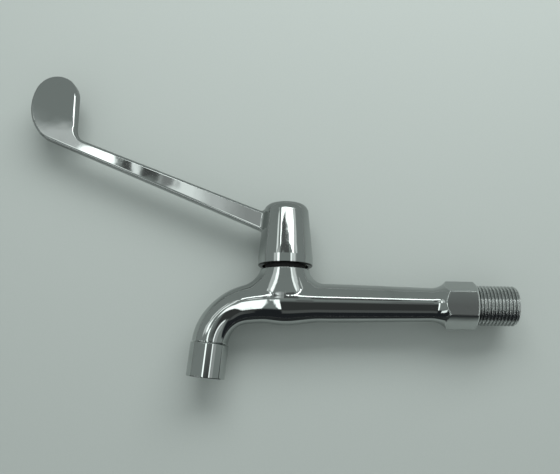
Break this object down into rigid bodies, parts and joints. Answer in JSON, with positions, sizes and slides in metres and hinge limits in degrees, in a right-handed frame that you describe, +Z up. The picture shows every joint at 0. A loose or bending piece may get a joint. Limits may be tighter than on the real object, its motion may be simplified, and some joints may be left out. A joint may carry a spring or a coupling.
{
  "type": "wall tap",
  "caption": "Wall tap with a long level body, a down-turned spout and a long elbow lever that ends in an oval paddle.",
  "frame": {"origin": "on the inlet axis at the hexagon's end face, where the male wall thread starts", "axes": "+X along the inlet thread into the wall, +Z up along the spindle, +Y to the right of someone who stands at the wall and looks along the tap to its spout; the tap is in its position of use"},
  "size_m": [0.2668, 0.0292, 0.1679],
  "materials": {
    "plated_casting": "polished chrome plate",
    "plated_handle": "polished chrome plate",
    "plated_sleeve": "polished chrome plate",
    "plug_plastic": "bright plated plastic",
    "headwork_brass": "machined",
    "disc_ceramic": "lapped ceramic",
    "seal_rubber": "matt black",
    "thrust_plastic": "natural nylon",
    "spring_steel": "oiled spring steel",
    "screw_steel": "stainless",
    "straightener_plastic": "moulded",
    "screen_steel": "woven stainless"
  },
  "bodies": {
    "tap_body": {"body": "plated_casting", "nozzle_sleeve": "plated_sleeve", "seat_seal": "seal_rubber", "fixed_disc": "disc_ceramic", "bonnet": "headwork_brass", "bonnet_seal": "seal_rubber", "nozzle_washer": "seal_rubber", "flow_straightener": "straightener_plastic", "outlet_screen_1": "screen_steel", "outlet_screen_2": "screen_steel"},
    "handle_group": {"handle": "plated_handle", "handle_screw": "screw_steel", "lock_washer": "screw_steel", "index_plug": "plug_plastic", "spindle": "headwork_brass", "spindle_o_ring_1": "seal_rubber", "spindle_o_ring_2": "seal_rubber", "circlip": "spring_steel", "moving_disc": "disc_ceramic", "slide_washer": "thrust_plastic"}
  },
  "joints": [
    {"name": "handle_turn", "type": "hinge", "parent": "tap_body", "child": "handle_group", "pos_m": [-0.1, 0, 0.035], "axis": [0, 0, 1], "range_deg": [0, 90]}
  ]
}
